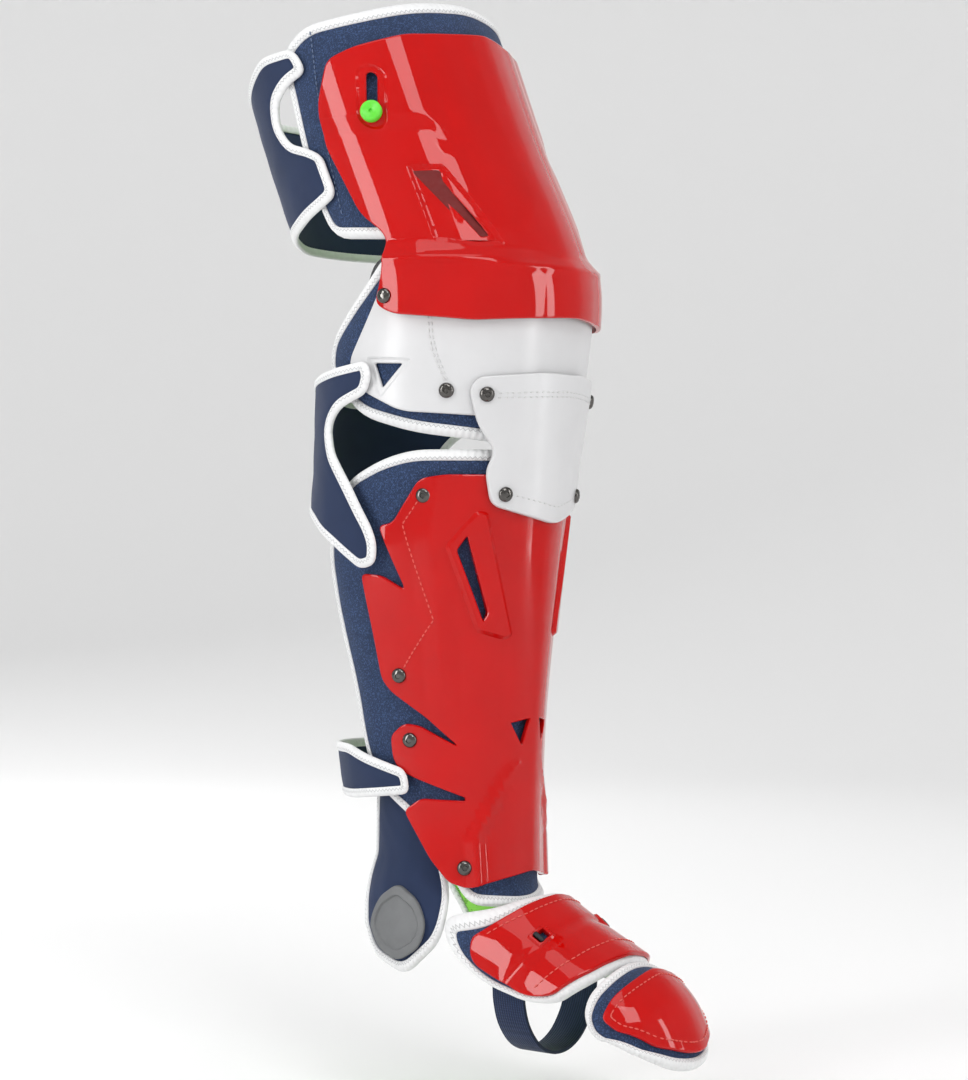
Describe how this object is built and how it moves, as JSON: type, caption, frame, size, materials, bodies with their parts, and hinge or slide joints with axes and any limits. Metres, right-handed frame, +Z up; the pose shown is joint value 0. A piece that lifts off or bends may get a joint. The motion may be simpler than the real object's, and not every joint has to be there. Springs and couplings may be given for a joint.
{
  "type": "catcher leg guard",
  "caption": "Leg guard of red moulded shells and white plates on navy pads, with forked straps round the back, side flaps at the ankle and a toe guard",
  "frame": {"origin": "Middle of the knee in the leg hollow, at mount leg_seat", "axes": "+Z up along the leg, -Y towards the toe, +X the side where the straps hook on"},
  "size_m": [0.1741, 0.3058, 0.6166],
  "materials": {
    "red_shell": "gloss moulded, faceted",
    "white_shell": "satin moulded",
    "navy_fabric": "navy woven cover over foam",
    "white_binding": "stitched white edge binding",
    "navy_strap": "smooth navy stretch fabric with white binding",
    "navy_webbing": "navy ribbed webbing",
    "grey_mesh": "dark grey spacer mesh",
    "green_gel": "clear green gel",
    "green_knob": "bright green moulded",
    "grey_rubber": "moulded grey",
    "dark_chrome": "dark polished",
    "gunmetal": "dark grey satin",
    "chrome": "bright plated"
  },
  "bodies": {
    "root": {"knee_cap": "red_shell", "shin_shell": "red_shell", "instep_shell": "red_shell", "toe_shell": "red_shell", "knee_plate": "white_shell", "bridge_plate": "white_shell", "thigh_pad": "navy_fabric", "knee_pad": "navy_fabric", "shin_pad": "navy_fabric", "instep_pad": "navy_fabric", "toe_pad": "navy_fabric", "ankle_wing_left": "navy_fabric", "ankle_wing_right": "navy_fabric", "thigh_binding": "white_binding", "knee_binding": "white_binding", "shin_binding": "white_binding", "instep_binding": "white_binding", "toe_binding": "white_binding", "thigh_strap": "navy_strap", "calf_strap": "navy_strap", "ankle_strap": "navy_strap", "foot_strap": "navy_webbing", "thigh_upper_loop": "navy_webbing", "thigh_lower_loop": "navy_webbing", "calf_upper_loop": "navy_webbing", "calf_lower_loop": "navy_webbing", "knee_liner": "grey_mesh", "shin_liner": "grey_mesh", "gel_pad": "green_gel", "cap_knob_left": "green_knob", "cap_knob_right": "green_knob", "ankle_patch_left": "grey_rubber", "ankle_patch_right": "grey_rubber", "cap_rivet_left": "dark_chrome", "cap_rivet_right": "dark_chrome", "plate_rivet_left": "dark_chrome", "plate_rivet_right": "dark_chrome", "bridge_rivet_left_1": "dark_chrome", "bridge_rivet_left_2": "dark_chrome", "bridge_rivet_right_1": "dark_chrome", "bridge_rivet_right_2": "dark_chrome", "shin_rivet_left_1": "dark_chrome", "shin_rivet_left_2": "dark_chrome", "shin_rivet_left_3": "dark_chrome", "shin_rivet_left_4": "dark_chrome", "shin_rivet_right_1": "dark_chrome", "shin_rivet_right_2": "dark_chrome", "shin_rivet_right_3": "dark_chrome", "shin_rivet_right_4": "dark_chrome", "thigh_upper_hook": "gunmetal", "thigh_lower_hook": "gunmetal", "calf_upper_hook": "gunmetal", "calf_lower_hook": "gunmetal", "thigh_upper_ring": "chrome", "thigh_lower_ring": "chrome", "calf_upper_ring": "chrome", "calf_lower_ring": "chrome"}
  },
  "joints": []
}
